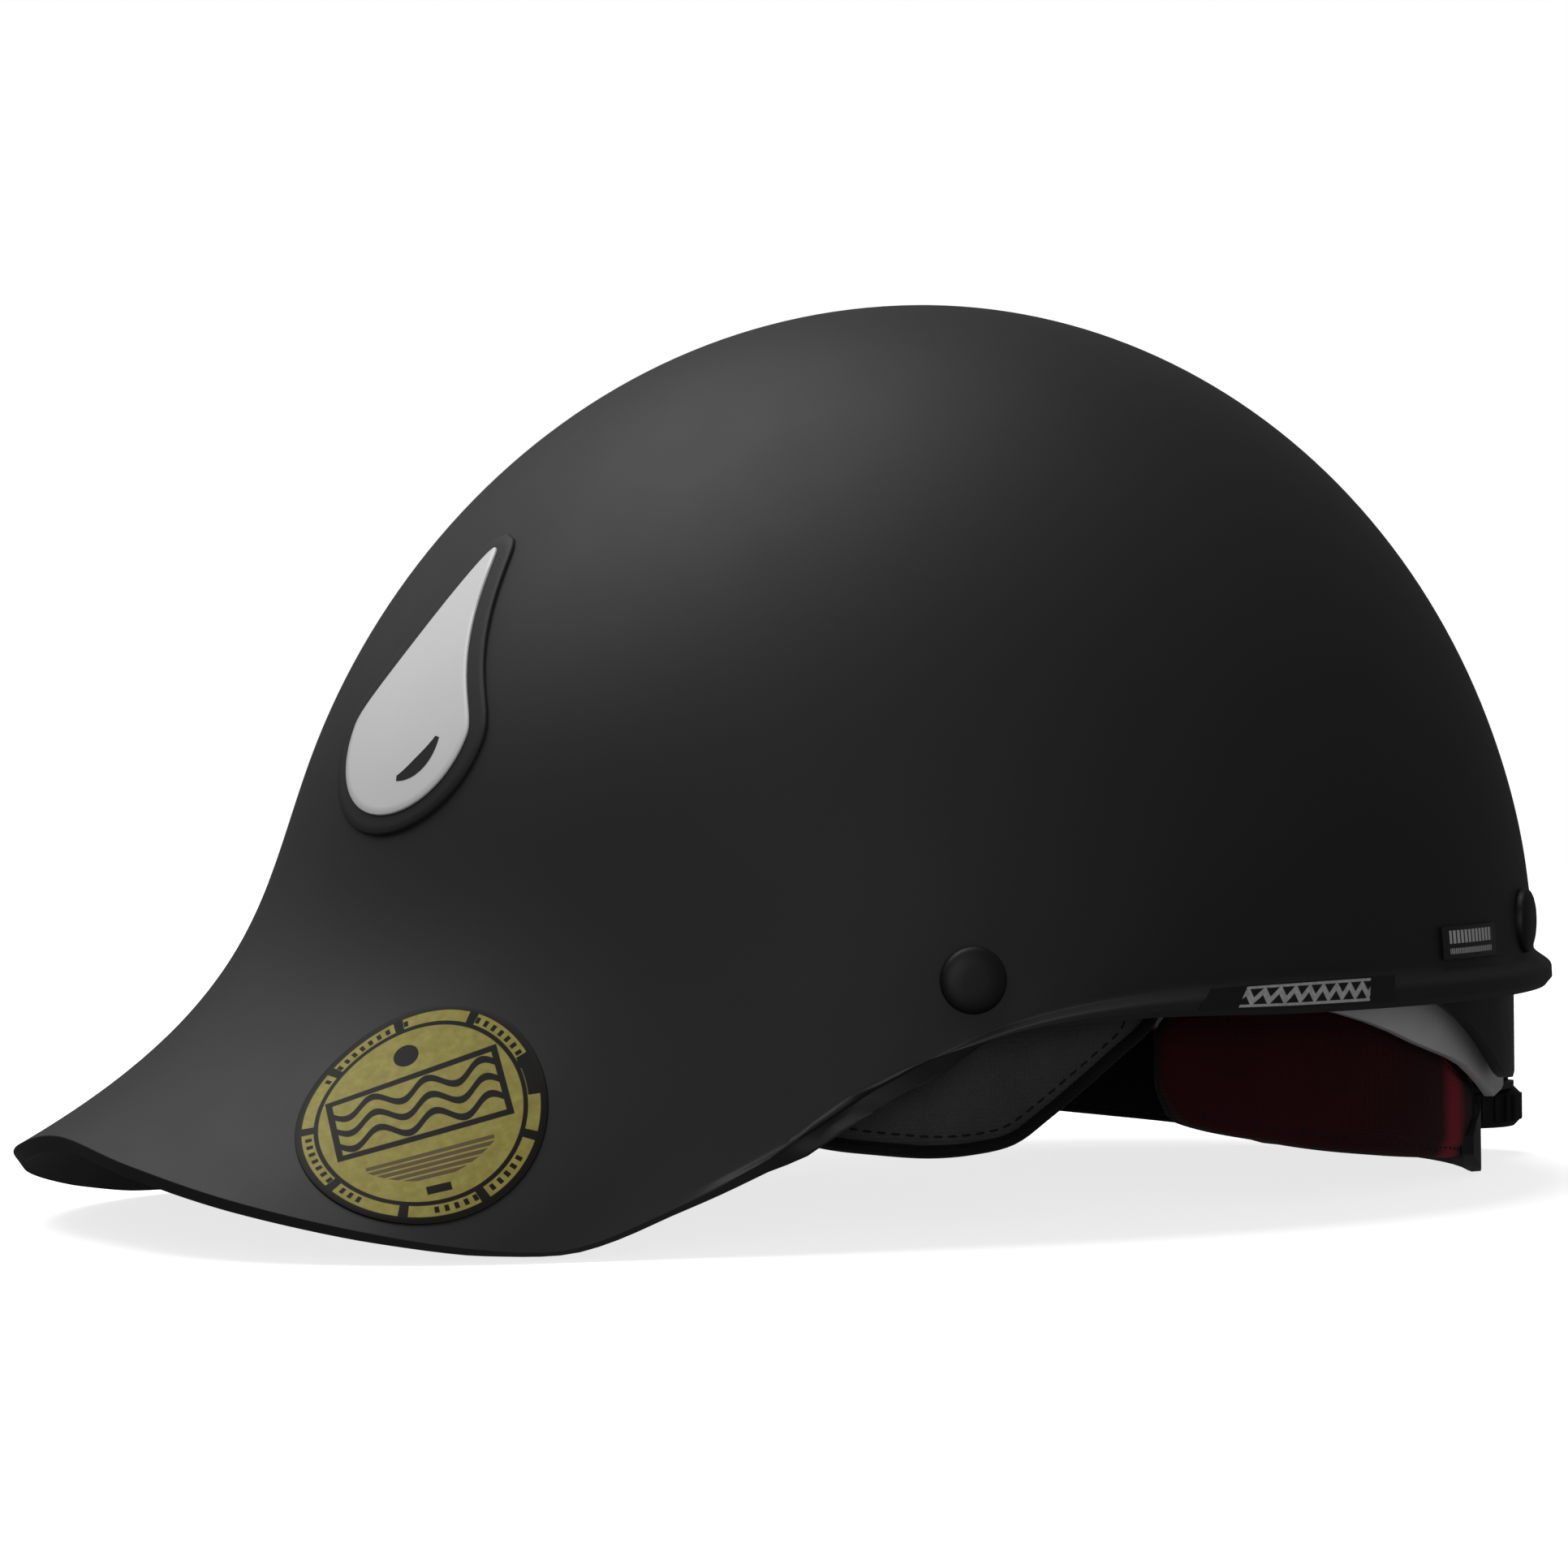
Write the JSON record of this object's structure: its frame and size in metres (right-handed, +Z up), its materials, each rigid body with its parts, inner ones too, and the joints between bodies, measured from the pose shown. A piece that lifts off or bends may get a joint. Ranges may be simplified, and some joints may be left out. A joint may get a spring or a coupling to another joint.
{
  "type": "water sports helmet",
  "caption": "Open-face water sports helmet with a moulded visor, foam liner, ear pads, stowed chin strap and a padded neck cradle that a thumbwheel tightens.",
  "frame": {"origin": "on the surface that the helmet rests on, below the middle of the bounding box", "axes": "+X to the wearer's left, -Y to the front (visor), +Z up; visor and cradle foot stand on z = 0"},
  "size_m": [0.2144, 0.3088, 0.1666],
  "materials": {
    "shell": "moulded satin charcoal black",
    "foam": "closed-cell foam",
    "pad_fabric": "brushed knit",
    "ear_fabric": "laminated knit with a bound edge",
    "neoprene": "neoprene jersey, dark red",
    "webbing": "woven polyester webbing",
    "black_plastic": "moulded satin",
    "grey_plastic": "moulded satin grey",
    "wheel_plastic": "ribbed grip",
    "gear_plastic": "natural moulded",
    "rubber": "soft loop",
    "steel": "plated",
    "emblem_white": "printed, slightly raised",
    "sticker_gold": "printed film",
    "label_dark": "printed film",
    "label_grey": "printed film"
  },
  "bodies": {
    "shell": {"outer_shell": "shell", "impact_liner": "foam", "brow_pad": "pad_fabric", "crown_pad": "pad_fabric", "side_pad_left": "pad_fabric", "side_pad_right": "pad_fabric", "rear_pad": "pad_fabric", "ear_pad_left": "ear_fabric", "ear_pad_right": "ear_fabric", "side_rivets": "black_plastic", "side_washers": "steel", "rear_rivets": "black_plastic", "rear_washers": "steel", "front_emblem": "emblem_white", "round_sticker": "sticker_gold", "rim_label": "label_dark", "rear_label": "label_grey", "arm_bracket_left": "black_plastic", "arm_bracket_right": "black_plastic", "arm_pins": "steel", "rear_hanger": "black_plastic", "chin_strap_left": "webbing", "chin_strap_right": "webbing", "buckle_socket": "black_plastic", "buckle_plug": "black_plastic", "strap_slider": "black_plastic", "strap_keeper": "rubber"},
    "cradle": {"neck_pad": "neoprene", "cradle_plate": "black_plastic", "adjuster_base": "black_plastic", "adjuster_cover": "black_plastic", "adjuster_screws": "steel"},
    "dial": {"thumbwheel": "wheel_plastic", "pinion": "gear_plastic", "wheel_clip": "steel"},
    "arm_left": {"arm_left": "grey_plastic"},
    "arm_right": {"arm_right": "grey_plastic"}
  },
  "joints": [
    {"name": "cradle_slide", "type": "slide", "parent": "shell", "child": "cradle", "axis": [0, -1, 0], "range_m": [0, 0.00528]},
    {"name": "arm_left_swing", "type": "hinge", "parent": "shell", "child": "arm_left", "pos_m": [0.09, 0.0226, 0.0419], "axis": [0, 0, 1], "range_deg": [-0.3, 3.7]},
    {"name": "arm_right_swing", "type": "hinge", "parent": "shell", "child": "arm_right", "pos_m": [-0.09, 0.0226, 0.0419], "axis": [0, 0, 1], "range_deg": [-3.7, 0.3]},
    {"name": "dial_spin", "type": "hinge", "parent": "cradle", "child": "dial", "pos_m": [0, 0.1441, 0.018], "axis": [0, 0, 1], "range_deg": [-176, 2]}
  ],
  "couplings": [
    {"joint": "arm_left_swing", "follows": "cradle_slide", "rad_per_m": 11.574},
    {"joint": "arm_right_swing", "follows": "cradle_slide", "rad_per_m": -11.574},
    {"joint": "dial_spin", "follows": "cradle_slide", "rad_per_m": -573.3}
  ]
}
